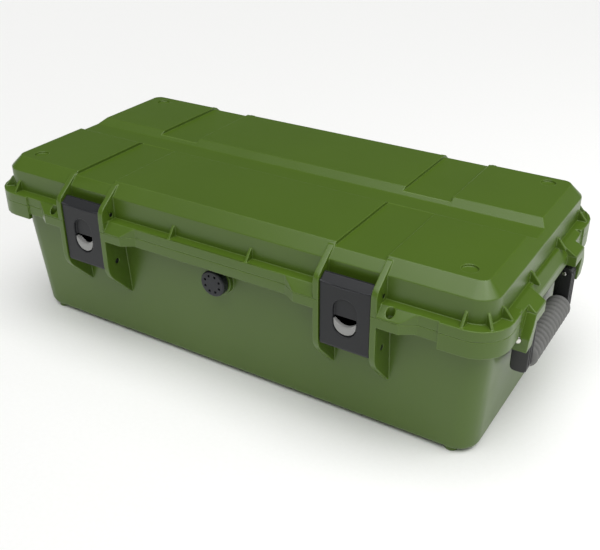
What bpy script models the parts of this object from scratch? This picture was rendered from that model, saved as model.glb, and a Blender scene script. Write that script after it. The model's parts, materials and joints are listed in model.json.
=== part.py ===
"""Hard equipment case: two moulded shells, a sealed rim, two push-button latches,
two fold-down end handles, a rear hinge on two pins and an air valve.

Frame: +Z up, the case stands on z = 0, its front (latch side) faces -Y and its
long side runs along X. The origin is below the centre of the case.
All driving dimensions are in millimetres; the meshes are made in metres.
"""
import math

import bmesh
import bpy
from mathutils import Matrix, Vector

MM = 0.001
CASE_NAME = "hard_equipment_case"

# ---------------------------------------------------------------- driving dimensions
# Overall shape
LID_LENGTH = 544.0           # lid wall to lid wall, along X
LID_WIDTH = 252.4            # lid wall to lid wall, along Y
CASE_HEIGHT = 184.4          # feet to lid top
LID_CHAMFER = 11.7           # 45 degree slope between lid wall and lid top
LEDGE_WIDTH = 9.9            # rim outside the lid wall
LID_CORNER = 20.0            # plan radius of the lid wall
FLOOR_INSET_X = 10.5         # base end walls at floor level, inside the lid walls
FLOOR_INSET_Y = 17.0         # base long walls at floor level, inside the lid walls
DRAFT = 3.54                 # outward lean of the base walls, degrees
BASE_CORNER = 22.0           # plan radius of the base walls
FLOOR_ROUND = 8.0            # radius between base walls and floor
WALL = 3.5                   # shell thickness
LID_WALL = 4.5               # upright lid wall, thicker than the rest
FLOOR = 4.0                  # base floor thickness

# Heights of the rim
PARTING = 141.0              # middle of the gap between the shells
LEDGE = 150.7                # top face of the rim
RIM_DEPTH = 20.1             # ledge to the rim's lower edge
RIM_PLATE = 4.5              # thickness of the base rim's top plate
RIM_SKIRT = 3.2              # thickness of its hanging edge
BUMPER_PROUD = 1.5           # how far the corner bumpers stand out from the rim
BUMPER_DROP = 5.5            # how far they reach below it
BUMPER_LONG = 50.0           # length of a bumper along the front or rear
BUMPER_SHORT = 50.0          # and along the ends
CLEARANCE = 0.3              # gap between neighbouring pieces

# Lid top
PANEL_CHANNEL = 5.5          # depth of the cross channel
CHANNEL_FLOOR = 22.0         # width of its floor
CHANNEL_MOUTH = 43.0         # width at the lid top
STRIP_DEPTH = 3.2            # sunk strips that run back from the latches
STRIP_INSET = 0.5            # strip sides inside the fins' inner faces
RECESS_RADIUS = 7.25         # stacking sockets in the lid corners
RECESS_DEPTH = 2.0
FOOT_RADIUS = 6.4            # feet that sit in those sockets
FOOT_HEIGHT = 1.6
FOOT_INSET_X = 32.0          # feet and sockets inside the lid walls
FOOT_INSET_Y = 26.0

# Seal
TONGUE = 2.4                 # thickness of the base's sealing rib
TONGUE_HEIGHT = 3.4
GROOVE = 5.4                 # width of the lid's seal groove
GROOVE_DEPTH = 6.0
SEAL_OFFSET = 0.2            # seal centre line outside the lid wall
GASKET_THICK = 2.3

# Latches
LATCH_X = 149.5              # latch centre from the case centre
BAY = 50.0                   # clear width between two fins
FIN = 5.5                    # fin thickness
FIN_REACH = 17.9             # fin front beyond the lid wall
FIN_KINK_DROP = 21.4         # where the lid fin turns back, below the lid top
FIN_NOSE = 93.0              # height where the base fin turns back
FIN_NOSE_RADIUS = 24.0       # the fins' lower front corner
FIN_KINK_RADIUS = 12.0       # the lid fins' front corner
FIN_FOOT = 60.0              # height where it meets the wall
FIN_TOP_DROP = 2.0           # fin tops below the lid top
FIN_SLOPE_TOP = 3.6          # start of the fin's slope outside the lid's top edge
BAY_SHELF = 4.7              # rim left outside the lid wall inside a bay
LEVER_GAP = 0.7              # between the lever and a fin
LEVER_FACE = 1.5             # lever face behind the fin fronts
LEVER_TOP = 160.5
LEVER_BOTTOM = 96.5
LEVER_BACK = 9.0             # depth of the lever's upper part
LEVER_SHELL = 2.6
LEVER_CHEEK = 2.6
LEVER_BEVEL = 6.0            # rise of the lever's top slope
LEVER_LOBE = 6.0             # radius round the lever's pin
LEVER_PIN_RADIUS = 2.5
LEVER_PIN_DEPTH = 14.1       # pin axis behind the fin fronts
LEVER_PIN_HEIGHT = 104.0
BAR_RADIUS = 2.0
BAR_DEPTH = 13.1             # catch bar axis behind the fin fronts
BAR_HEIGHT = 155.5
POCKET_GAP = 0.8             # between the finger pocket's shell and a hook arm
POCKET_TOP = 148.0
POCKET_BOTTOM = 112.0
POCKET_DEPTH = 3.2
POCKET_SHELL = 1.2
TRIGGER_PIN_RADIUS = 1.5
TRIGGER_PIN_DEPTH = 9.5      # trigger axis behind the fin fronts
TRIGGER_PIN_HEIGHT = 138.0
TRIGGER_BARREL = 3.0
TRIGGER_THICK = 2.0
SPRING_ROOM = 4.0            # between the web behind the pocket and a hook arm
TRIGGER_ARM = 5.0            # width of each hook arm
TRIGGER_ARM_GAP = 3.2        # between a hook arm and the lever cheek beside it
BRIDGE_HEIGHT = 4.0          # cross plate that joins the arms above the pin
LIP_HEIGHT = 8.4             # thickness of the crescent lip at its middle
LIP_PROUD = 0.8              # lip face behind the lever face
SPRING_WIRE = 0.8
SPRING_TURNS = 3

# Padlock tabs beside the fins
TAB_OUTER = 20.0             # tab length at its outer edge
TAB_INNER = 33.0             # tab length at the rim
TAB_BOTTOM = 131.5
TAB_EDGE = 142.0             # height of the tab's outer edge
PADLOCK_RADIUS = 3.8
PADLOCK_X = 10.2             # padlock hole from the fin
PADLOCK_DEPTH = 5.1          # padlock hole behind the fin fronts

# Small ribs on the ledge
GUSSET_THICK = 2.5
GUSSET_RISE = 10.5
GUSSET_FRONT_X = 44.0
GUSSET_END_Y = 37.0
RIM_RIB_X = 95.0             # outer ribs under the long rims

# Hinge
HINGE_REACH = 11.7           # hinge axis behind the lid wall
HINGE_LOBE = 6.2
HINGE_PIN_RADIUS = 2.5
KNUCKLE = 10.0               # width of one base knuckle
KNUCKLES = 3
KNUCKLE_FOOT = 96.0
KNUCKLE_RISE = 30.0          # upright part of the knuckles above their foot
BASE_BAY_MARGIN = 0.7        # base rim cut back beside the lid's hinge fins

# End handles
HANDLE_OUT = 8.0             # handle axis outside the lid wall
HANDLE_Z = 118.0
HANDLE_SPAN = 102.0          # clear width between the arms
ARM_THICK = 14.0
ARM_WIDTH = 15.5
ARM_DROP = 42.0              # axis to the arm's lower edge
ARM_GROOVE = 3.2
ARM_GROOVE_DEPTH = 3.0
GRIP_DROP = 34.0             # axis to the grip's centre
GRIP_RADIUS = 12.0
GRIP_CORE = 7.0
BRACKET_THICK = 13.5
BRACKET_REACH = 10.5         # bracket outer face beyond the handle axis
BRACKET_BOTTOM = 107.0
BRACKET_FACET = 120.0        # height where the bracket's front facet starts
FACET_RUN = 14.5             # how far that facet leans in up to the ledge
HOOD_INNER = 45.0            # inner end of the hood from the case centre
HOOD_SLOPE_START = 4.0       # start of the hood's slope outside the lid wall
RIM_SLOPE_START = 3.0        # start of the rim's slope between the hoods
HANDLE_PIN_RADIUS = 2.2
HANDLE_PIN_HEAD = 3.4

# Air valve
VALVE_Z = 112.0
VALVE_RADIUS = 13.5
VALVE_BOSS_RADIUS = 15.5
VALVE_BOSS_IN = 4.7          # boss face behind the lid wall
VALVE_CAP = 8.0
VALVE_THREAD_RADIUS = 7.0
VALVE_BORE_RADIUS = 3.0
VALVE_PORTS = 8
VALVE_PORT_RADIUS = 1.35
VALVE_PORT_CIRCLE = 8.6
VALVE_NUT_THICK = 5.0
VALVE_RING = 1.6             # section of the valve's O-ring

CORNER_STEPS = 6
ROUND_STEPS = 24

# ---------------------------------------------------------------- derived positions
LID_HALF_X = LID_LENGTH / 2
LID_HALF_Y = LID_WIDTH / 2
FLOOR_LENGTH = LID_LENGTH - 2 * FLOOR_INSET_X
FLOOR_WIDTH = LID_WIDTH - 2 * FLOOR_INSET_Y
FOOT_X = LID_HALF_X - FOOT_INSET_X
FOOT_Y = LID_HALF_Y - FOOT_INSET_Y
HANDLE_X = LID_HALF_X + HANDLE_OUT
VALVE_BOSS_FACE = LID_HALF_Y - VALVE_BOSS_IN
RIM_HALF_X = LID_HALF_X + LEDGE_WIDTH
RIM_HALF_Y = LID_HALF_Y + LEDGE_WIDTH
RIM_CORNER = LID_CORNER + LEDGE_WIDTH
RIM_BOTTOM = LEDGE - RIM_DEPTH
BASE_TOP = PARTING - CLEARANCE / 2
LID_BOTTOM = PARTING + CLEARANCE / 2
FIN_FRONT = -(LID_HALF_Y + FIN_REACH)
FIN_KINK = CASE_HEIGHT - FIN_KINK_DROP
LEVER_FRONT = FIN_FRONT + LEVER_FACE
LEVER_INSIDE = LEVER_FRONT + LEVER_SHELL
LEVER_WIDTH = BAY - 2 * LEVER_GAP
STRIP_WIDTH = BAY - 2 * STRIP_INSET
TRIGGER_ARM_OUT = LEVER_WIDTH / 2 - LEVER_CHEEK - TRIGGER_ARM_GAP
TRIGGER_WEB = 2 * (TRIGGER_ARM_OUT - TRIGGER_ARM - SPRING_ROOM)
POCKET_WIDTH = 2 * (TRIGGER_ARM_OUT - TRIGGER_ARM - POCKET_SHELL - POCKET_GAP)
BAY_FACE = LID_HALF_Y + BAY_SHELF
HINGE_Y = LID_HALF_Y + HINGE_REACH
LEVER_PIN = (FIN_FRONT + LEVER_PIN_DEPTH, LEVER_PIN_HEIGHT)
CATCH_BAR = (FIN_FRONT + BAR_DEPTH, BAR_HEIGHT)
TRIGGER_PIN = (FIN_FRONT + TRIGGER_PIN_DEPTH, TRIGGER_PIN_HEIGHT)
FIN_SPAN = BAY / 2 + FIN     # fin's outer side from the latch centre
ARM_OUTER = HANDLE_SPAN / 2 + ARM_THICK
BRACKET_INNER = ARM_OUTER + 1.0
BRACKET_OUTER = BRACKET_INNER + BRACKET_THICK
BRACKET_FACE = HANDLE_X + BRACKET_REACH
SIDES = (("left", -1), ("right", 1))

MATERIALS = {
    "green_plastic": ((0.075, 0.135, 0.020), 0.45, 0.0),
    "dark_plastic": ((0.050, 0.052, 0.056), 0.45, 0.0),
    "black_plastic": ((0.012, 0.012, 0.013), 0.40, 0.0),
    "grip_rubber": ((0.160, 0.160, 0.158), 0.65, 0.0),
    "trigger_plastic": ((0.400, 0.400, 0.395), 0.40, 0.0),
    "seal_rubber": ((0.015, 0.015, 0.015), 0.80, 0.0),
    "steel": ((0.620, 0.620, 0.610), 0.25, 1.0),
    "membrane": ((0.700, 0.700, 0.680), 0.70, 0.0),
}


def base_wall(height, axis):
    """Outer half width of the base at a height; axis is 0 along X and 1 along Y."""
    floor_half = (FLOOR_LENGTH, FLOOR_WIDTH)[axis] / 2
    return floor_half + height * math.tan(math.radians(DRAFT))


# ---------------------------------------------------------------- scene and helpers
def clear_scene():
    for stale in list(bpy.data.objects):
        bpy.data.objects.remove(stale, do_unlink=True)


def make_collection(name):
    collection = bpy.data.collections.new(name)
    bpy.context.scene.collection.children.link(collection)
    return collection


def make_materials():
    made = {}
    for name, (colour, roughness, metallic) in MATERIALS.items():
        material = bpy.data.materials.new(name)
        material.use_nodes = True
        shader = material.node_tree.nodes["Principled BSDF"]
        shader.inputs["Base Color"].default_value = (*colour, 1.0)
        shader.inputs["Roughness"].default_value = roughness
        shader.inputs["Metallic"].default_value = metallic
        made[name] = material
    return made


def arc(centre, radius, start, end, steps=6):
    """Points of an arc in an outline, angles in degrees."""
    points = []
    for step in range(steps + 1):
        angle = math.radians(start + (end - start) * step / steps)
        points.append((centre[0] + radius * math.cos(angle), centre[1] + radius * math.sin(angle)))
    return points


def soften(corners, steps=3):
    """Outline from (u, v, radius) corners, each rounded by its radius."""
    outline = []
    for index, (u, v, radius) in enumerate(corners):
        here = Vector((u, v))
        before = Vector(corners[index - 1][:2]) - here
        after = Vector(corners[(index + 1) % len(corners)][:2]) - here
        if radius == 0.0:
            outline.append((u, v))
            continue
        half_angle = before.angle(after) / 2
        run = min(radius / math.tan(half_angle), before.length * 0.49, after.length * 0.49)
        start = here + before.normalized() * run
        end = here + after.normalized() * run
        for step in range(steps + 1):
            t = step / steps
            point = (1 - t) ** 2 * start + 2 * t * (1 - t) * here + t ** 2 * end
            outline.append((point.x, point.y))
    return outline


def rounded_rectangle(half_x, half_y, radius, height):
    """Plan outline of a box with round corners."""
    points = []
    for quarter, (sign_x, sign_y) in enumerate(((1, 1), (-1, 1), (-1, -1), (1, -1))):
        centre = (sign_x * (half_x - radius), sign_y * (half_y - radius))
        turn = arc(centre, radius, 90 * quarter, 90 * quarter + 90, CORNER_STEPS)
        points.extend((x, y, height) for x, y in turn)
    return points


def add_loop(bm, points):
    verts = [bm.verts.new(Vector(point) * MM) for point in points]
    return [bm.edges.new((verts[index - 1], verts[index])) for index in range(len(verts))]


def loft(sections):
    """Solid through round-cornered sections (half_x, half_y, radius, height)."""
    bm = bmesh.new()
    loops = [add_loop(bm, rounded_rectangle(*section)) for section in sections]
    for lower, upper in zip(loops, loops[1:]):
        bmesh.ops.bridge_loops(bm, edges=lower + upper)
    for end in (loops[0], loops[-1]):
        bmesh.ops.contextual_create(bm, geom=end)
    bmesh.ops.recalc_face_normals(bm, faces=bm.faces)
    return bm


def box(low, high):
    bm = bmesh.new()
    bmesh.ops.create_cube(bm, size=1.0)
    size = Vector(high) - Vector(low)
    centre = (Vector(high) + Vector(low)) / 2
    bmesh.ops.scale(bm, vec=size * MM, verts=bm.verts)
    bmesh.ops.translate(bm, vec=centre * MM, verts=bm.verts)
    return bm


AXIS_FRAMES = {
    "X": Matrix(((0, 0, 1), (1, 0, 0), (0, 1, 0))).to_4x4(),    # outline in Y, Z
    "Y": Matrix(((1, 0, 0), (0, 0, -1), (0, 1, 0))).to_4x4(),   # outline in X, Z
    "Z": Matrix.Identity(4),                                    # outline in X, Y
}


def plate(axis, outline, low, high, hole=None):
    """Flat outline as a filled 2D curve, extruded along an axis from low to high."""
    curve = bpy.data.curves.new("outline", "CURVE")
    curve.dimensions = "2D"
    curve.fill_mode = "BOTH"
    curve.extrude = (high - low) / 2 * MM
    for loop in (outline, hole) if hole else (outline,):
        spline = curve.splines.new("POLY")
        spline.points.add(len(loop) - 1)
        for point, (u, v) in zip(spline.points, loop):
            point.co = (u * MM, v * MM, 0.0, 1.0)
        spline.use_cyclic_u = True
    holder = bpy.data.objects.new("outline", curve)
    bpy.context.scene.collection.objects.link(holder)
    middle = (high + low) / 2 * (-1 if axis == "Y" else 1)
    frame = AXIS_FRAMES[axis] @ Matrix.Translation((0.0, 0.0, middle * MM))
    depsgraph = bpy.context.evaluated_depsgraph_get()
    mesh = bpy.data.meshes.new_from_object(holder.evaluated_get(depsgraph))
    bm = bmesh.new()
    bm.from_mesh(mesh)
    bmesh.ops.remove_doubles(bm, verts=bm.verts, dist=1e-6)
    bmesh.ops.transform(bm, matrix=frame, verts=bm.verts)
    bmesh.ops.recalc_face_normals(bm, faces=bm.faces)
    bpy.data.objects.remove(holder, do_unlink=True)
    bpy.data.curves.remove(curve)
    bpy.data.meshes.remove(mesh)
    return bm


def frame_ring(outer, inner, low, high):
    """Closed ring between two plan outlines (half_x, half_y, radius)."""
    around, within = ([point[:2] for point in rounded_rectangle(*size, 0.0)] for size in (outer, inner))
    return plate("Z", around, low, high, within)


def rod(axis, centre, radius, low, high, steps=ROUND_STEPS):
    """Round bar along an axis; centre gives its place on the two other axes."""
    bm = bmesh.new()
    bmesh.ops.create_cone(bm, cap_ends=True, segments=steps, radius1=radius * MM,
                          radius2=radius * MM, depth=(high - low) * MM)
    middle = (high + low) / 2 * (-1 if axis == "Y" else 1)
    place = AXIS_FRAMES[axis] @ Matrix.Translation(Vector((*centre, middle)) * MM)
    bmesh.ops.transform(bm, matrix=place, verts=bm.verts)
    return bm


def turned(profile, axis_place, steps=ROUND_STEPS):
    """Turned solid along Y from (radius, y) points, closed on its axis line."""
    bm = bmesh.new()
    place_x, place_z = axis_place
    verts = [bm.verts.new(Vector((place_x + radius, y, place_z)) * MM) for radius, y in profile]
    edges = [bm.edges.new(pair) for pair in zip(verts, verts[1:] + verts[:1])]
    if profile[0][0] == 0.0 and profile[-1][0] == 0.0:
        bm.edges.remove(edges[-1])
    centre = Vector((place_x, 0.0, place_z)) * MM
    bmesh.ops.spin(bm, geom=bm.verts[:] + bm.edges[:], cent=centre, axis=(0, 1, 0),
                   angle=math.tau, steps=steps, use_merge=True)
    bmesh.ops.remove_doubles(bm, verts=bm.verts, dist=1e-6)
    bmesh.ops.recalc_face_normals(bm, faces=bm.faces)
    return bm


def together(*shapes):
    """One mesh from shapes that stay clear of each other."""
    whole = bmesh.new()
    for shape in shapes:
        mesh = bpy.data.meshes.new("part_of")
        shape.to_mesh(mesh)
        shape.free()
        whole.from_mesh(mesh)
        bpy.data.meshes.remove(mesh)
    return whole


def flipped(shape, x=1, y=1):
    """The shape mirrored across the case's centre planes, faces still pointing out."""
    bmesh.ops.transform(shape, matrix=Matrix.Diagonal((x, y, 1, 1)), verts=shape.verts)
    if x * y < 0:
        bmesh.ops.reverse_faces(shape, faces=shape.faces)
    return shape


def moved(shape, x):
    bmesh.ops.translate(shape, vec=(x * MM, 0.0, 0.0), verts=shape.verts)
    return shape


class Workshop:
    """Makes pieces and the tools that cut or extend them."""

    def __init__(self):
        clear_scene()
        self.parts = make_collection(CASE_NAME)
        self.tools = make_collection("cutters")
        self.materials = make_materials()

    def add_object(self, name, shape, collection):
        mesh = bpy.data.meshes.new(name)
        shape.to_mesh(mesh)
        shape.free()
        made = bpy.data.objects.new(name, mesh)
        collection.objects.link(made)
        return made

    def piece(self, name, shape, material):
        made = self.add_object(name, shape, self.parts)
        made.data.materials.append(self.materials[material])
        return made

    def work(self, target, operation, shape, label):
        """Boolean UNION or DIFFERENCE of a tool shape on a piece or another tool."""
        tool = shape
        if isinstance(shape, bmesh.types.BMesh):
            tool = self.add_object(label, shape, self.tools)
        tool.hide_render = True
        tool.display_type = "WIRE"
        step = target.modifiers.new(label, "BOOLEAN")
        step.operation = operation
        step.solver = "EXACT"
        step.object = tool
        return tool

    def tool(self, name, shape):
        return self.add_object(name, shape, self.tools)

    def pivot(self, name, place):
        empty = bpy.data.objects.new(name, None)
        empty.empty_display_size = 0.02
        empty.location = Vector(place) * MM
        self.parts.objects.link(empty)
        return empty

    def hang(self, piece, pivot):
        """Parent a piece to its pivot, keeping the mesh where it is."""
        piece.parent = pivot
        piece.matrix_parent_inverse = Matrix.Translation(-pivot.location)

    def copy_of(self, source, name, place):
        """Own object with the finished mesh of another, put in its own place."""
        bpy.context.view_layer.update()
        depsgraph = bpy.context.evaluated_depsgraph_get()
        mesh = bpy.data.meshes.new_from_object(source.evaluated_get(depsgraph))
        mesh.name = name
        mesh.transform(place)
        made = bpy.data.objects.new(name, mesh)
        self.parts.objects.link(made)
        return made


# ---------------------------------------------------------------- shells
def tub_sections(inset, floor_height, top, edge_radius):
    """Sections of the drafted tub, inset from the base's outer walls."""
    sections = []
    for step in range(4):
        angle = math.radians(30 * step)
        height = floor_height + edge_radius * (1 - math.cos(angle))
        pull = edge_radius * (1 - math.sin(angle))
        sections.append((height, pull))
    sections.append((top, 0.0))
    return [(base_wall(height, 0) - inset - pull, base_wall(height, 1) - inset - pull,
             max(BASE_CORNER - inset - pull, 2.0), height) for height, pull in sections]


def rim_slab(low, high, grow=0.0):
    size = (RIM_HALF_X + grow, RIM_HALF_Y + grow, RIM_CORNER + grow)
    return loft([(*size, low), (*size, high)])


def corner_bumpers(shop, label, low, high):
    """Four thicker rim corners: a slab with everything but its corners cut off."""
    bumper = shop.tool(label, rim_slab(low, high, BUMPER_PROUD))
    keep_x = RIM_HALF_X - BUMPER_LONG
    keep_y = RIM_HALF_Y - BUMPER_SHORT
    reach = RIM_HALF_X + LEDGE_WIDTH
    cross = [(keep_x, -reach), (keep_x, -keep_y), (reach, -keep_y), (reach, keep_y),
             (keep_x, keep_y), (keep_x, reach), (-keep_x, reach), (-keep_x, keep_y),
             (-reach, keep_y), (-reach, -keep_y), (-keep_x, -keep_y), (-keep_x, -reach)]
    shop.work(bumper, "DIFFERENCE", plate("Z", cross, low - 1.0, high + 1.0), label + "_cross")
    return bumper


def at_latches(make):
    """A shape made for the right latch, and its twin at the left."""
    return together(moved(make(), LATCH_X), moved(make(), -LATCH_X))


def fin_pair(outline):
    """Two upright plates, one on each side of a bay centred on x = 0."""
    return together(plate("X", outline, -FIN_SPAN, -BAY / 2), plate("X", outline, BAY / 2, FIN_SPAN))


def base_fin_outline():
    embed = WALL / 2
    return soften([
        (-(base_wall(FIN_FOOT, 1) - embed), FIN_FOOT, 0.0),
        (-(base_wall(FIN_FOOT, 1) + 1.0), FIN_FOOT, 0.0),
        (FIN_FRONT, FIN_NOSE, FIN_NOSE_RADIUS),
        (FIN_FRONT, BASE_TOP, 0.0),
        (-(base_wall(BASE_TOP, 1) - embed), BASE_TOP, 0.0)])


def lid_slope_inner():
    """Y + Z of the line midway through the lid's sloping wall."""
    return LID_HALF_Y - LID_CHAMFER + CASE_HEIGHT - WALL * math.sqrt(2) / 2


def lid_fin_outline():
    top_edge = LID_HALF_Y - LID_CHAMFER
    inner = LID_HALF_Y - LID_WALL / 2
    fin_top = CASE_HEIGHT - FIN_TOP_DROP
    return soften([
        (-(top_edge - 2.0), fin_top, 0.0),
        (-(top_edge + FIN_SLOPE_TOP), fin_top, 0.0),
        (FIN_FRONT, FIN_KINK, FIN_KINK_RADIUS),
        (FIN_FRONT, LID_BOTTOM, 0.0),
        (-inner, LID_BOTTOM, 0.0),
        (-inner, lid_slope_inner() - inner, 0.0),
        (-(top_edge - 2.0), lid_slope_inner() - top_edge + 2.0, 0.0)])


def lid_hinge_outline():
    """Rear fin of the lid: carries the hinge pin in a round lobe."""
    top_edge = LID_HALF_Y - LID_CHAMFER
    inner = LID_HALF_Y - LID_WALL / 2
    fin_top = CASE_HEIGHT - FIN_TOP_DROP
    upper = soften([
        (inner, LID_BOTTOM, 0.0),
        (inner, lid_slope_inner() - inner, 0.0),
        (top_edge - 2.0, lid_slope_inner() - top_edge + 2.0, 0.0),
        (top_edge - 2.0, fin_top, 0.0),
        (top_edge + 6.0, fin_top, 2.0),
        (HINGE_Y + HINGE_LOBE, FIN_KINK, 5.0)])
    return upper + arc((HINGE_Y, PARTING), HINGE_LOBE, 0, -180, 10)


def knuckle_outline():
    """Base knuckle plate: gusset from the rear wall up to a round eye."""
    embed = WALL / 2
    gusset = soften([
        (base_wall(BASE_TOP, 1) - embed, BASE_TOP, 0.0),
        (base_wall(KNUCKLE_FOOT, 1) - embed, KNUCKLE_FOOT, 0.0),
        (base_wall(KNUCKLE_FOOT, 1) + 2.0, KNUCKLE_FOOT, 0.0),
        (HINGE_Y + HINGE_LOBE, KNUCKLE_FOOT + KNUCKLE_RISE, 6.0)])
    eye = arc((HINGE_Y, PARTING), HINGE_LOBE, 0, 180, 10)
    return gusset + eye + [(HINGE_Y - HINGE_LOBE, BASE_TOP)]


def knuckle_set():
    first = -(LEVER_WIDTH - KNUCKLE) / 2
    pitch = (LEVER_WIDTH - KNUCKLE) / (KNUCKLES - 1)
    starts = [first + pitch * index - KNUCKLE / 2 for index in range(KNUCKLES)]
    return together(*(plate("X", knuckle_outline(), start, start + KNUCKLE) for start in starts))


def tab_blocks(low, high, side):
    """Tab beside a fin, on one side of a latch centred on x = 0, tapering to the rim."""
    rim = -(RIM_HALF_Y - 2.0)
    outline = [(side * (FIN_SPAN - 1.0), rim), (side * (FIN_SPAN - 1.0), FIN_FRONT),
               (side * (FIN_SPAN + TAB_OUTER), FIN_FRONT),
               (side * (FIN_SPAN + TAB_INNER), -RIM_HALF_Y), (side * (FIN_SPAN + TAB_INNER), rim)]
    return plate("Z", outline, low, high)


def all_tabs(low, high):
    blocks = [moved(tab_blocks(low, high, side), sign * LATCH_X)
              for side in (-1, 1) for _, sign in SIDES]
    return together(*blocks)


def tab_slope():
    """Wedge that planes the tabs down from the ledge to their outer edge."""
    beyond = FIN_FRONT - 3.0
    slope = (LEDGE - TAB_EDGE) / (-RIM_HALF_Y - FIN_FRONT)
    outline = [(-RIM_HALF_Y, LEDGE), (beyond, LEDGE - slope * (-RIM_HALF_Y - beyond)),
               (beyond, LEDGE + 2.0), (-RIM_HALF_Y, LEDGE + 2.0)]
    start = FIN_SPAN + 0.2
    reach = FIN_SPAN + TAB_INNER + 1.0
    wedges = []
    for _, sign in SIDES:
        wedges.append(moved(plate("X", outline, start, reach), sign * LATCH_X))
        wedges.append(moved(plate("X", outline, -reach, -start), sign * LATCH_X))
    return together(*wedges)


def padlock_holes(low, high):
    centre_y = FIN_FRONT + PADLOCK_DEPTH
    holes = [rod("Z", (sign * (LATCH_X + FIN_SPAN + PADLOCK_X), centre_y), PADLOCK_RADIUS,
                 low, high) for _, sign in SIDES]
    return together(*holes)


def bay_boxes(front, low, high, margin=0.0):
    """Blocks that cut the rim back inside the latch or hinge bays."""
    reach = BAY / 2 + margin
    far = RIM_HALF_Y + FIN_REACH
    near, end = (-far, -BAY_FACE) if front else (BAY_FACE, far)
    blocks = [box((sign * LATCH_X - reach, near, low), (sign * LATCH_X + reach, end, high))
              for _, sign in SIDES]
    return together(*blocks)


def bracket_profile(low, high, rim_inner):
    """End bracket section in X, Z for the right end."""
    return [(rim_inner, low), (BRACKET_FACE - 1.5, low), (BRACKET_FACE, low + 20.0),
            (BRACKET_FACE, high), (rim_inner, high)]


def four_ways(make):
    """A shape made for the right rear quarter, mirrored to all four."""
    return together(*(flipped(make(), x, y) for x in (-1, 1) for y in (-1, 1)))


def base_brackets():
    """Outer plates that hold the handle pins, with the hood over each arm."""
    inner = base_wall(BRACKET_BOTTOM, 0) - WALL / 2
    ear = bracket_profile(BRACKET_BOTTOM, BASE_TOP, inner)
    return four_ways(lambda: plate("Y", ear, BRACKET_INNER, BRACKET_OUTER))


def base_hoods():
    low = RIM_BOTTOM + 0.4
    outline = [(RIM_HALF_X - 2.0, low), (BRACKET_FACE, low), (BRACKET_FACE, BASE_TOP),
               (RIM_HALF_X - 2.0, BASE_TOP)]
    return four_ways(lambda: plate("Y", outline, HOOD_INNER, BRACKET_INNER + 1.0))


def lid_hoods():
    inner = LID_HALF_X - LID_WALL / 2
    outline = [(inner, LID_BOTTOM), (BRACKET_FACE, LID_BOTTOM), (BRACKET_FACE, LEDGE), (inner, LEDGE)]
    return four_ways(lambda: plate("Y", outline, HOOD_INNER, BRACKET_OUTER))


def slope_wedge(start, end, low, high):
    """Wedge in X, Z above a line from the ledge at start down to the parting line at end."""
    over = 4.0
    fall = (LEDGE - LID_BOTTOM) / (end - start)
    outline = [(start, LEDGE), (start, LEDGE + over), (end + over, LEDGE + over),
               (end + over, LID_BOTTOM - fall * over)]
    return plate("Y", outline, low, high)


def hood_slopes():
    start = LID_HALF_X + HOOD_SLOPE_START
    return four_ways(lambda: slope_wedge(start, BRACKET_FACE, HOOD_INNER, BRACKET_OUTER + 4.0))


def rim_slopes():
    """Wedges that slope the lid rim between the two hoods of an end."""
    start = LID_HALF_X + RIM_SLOPE_START
    right = slope_wedge(start, RIM_HALF_X, -HOOD_INNER, HOOD_INNER)
    left = flipped(slope_wedge(start, RIM_HALF_X, -HOOD_INNER, HOOD_INNER), x=-1)
    return together(right, left)


def facet_wedges():
    """Cuts the sloping outer facet of every bracket and hood."""
    rise = LEDGE - BRACKET_FACET
    over = 10.0
    outline = [(BRACKET_OUTER, BRACKET_FACET), (BRACKET_OUTER + over, BRACKET_FACET),
               (BRACKET_OUTER + over, LEDGE + over),
               (BRACKET_OUTER - FACET_RUN * (rise + over) / rise, LEDGE + over)]
    inner = RIM_HALF_X + 0.2
    return four_ways(lambda: plate("X", outline, inner, BRACKET_FACE + over))


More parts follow.
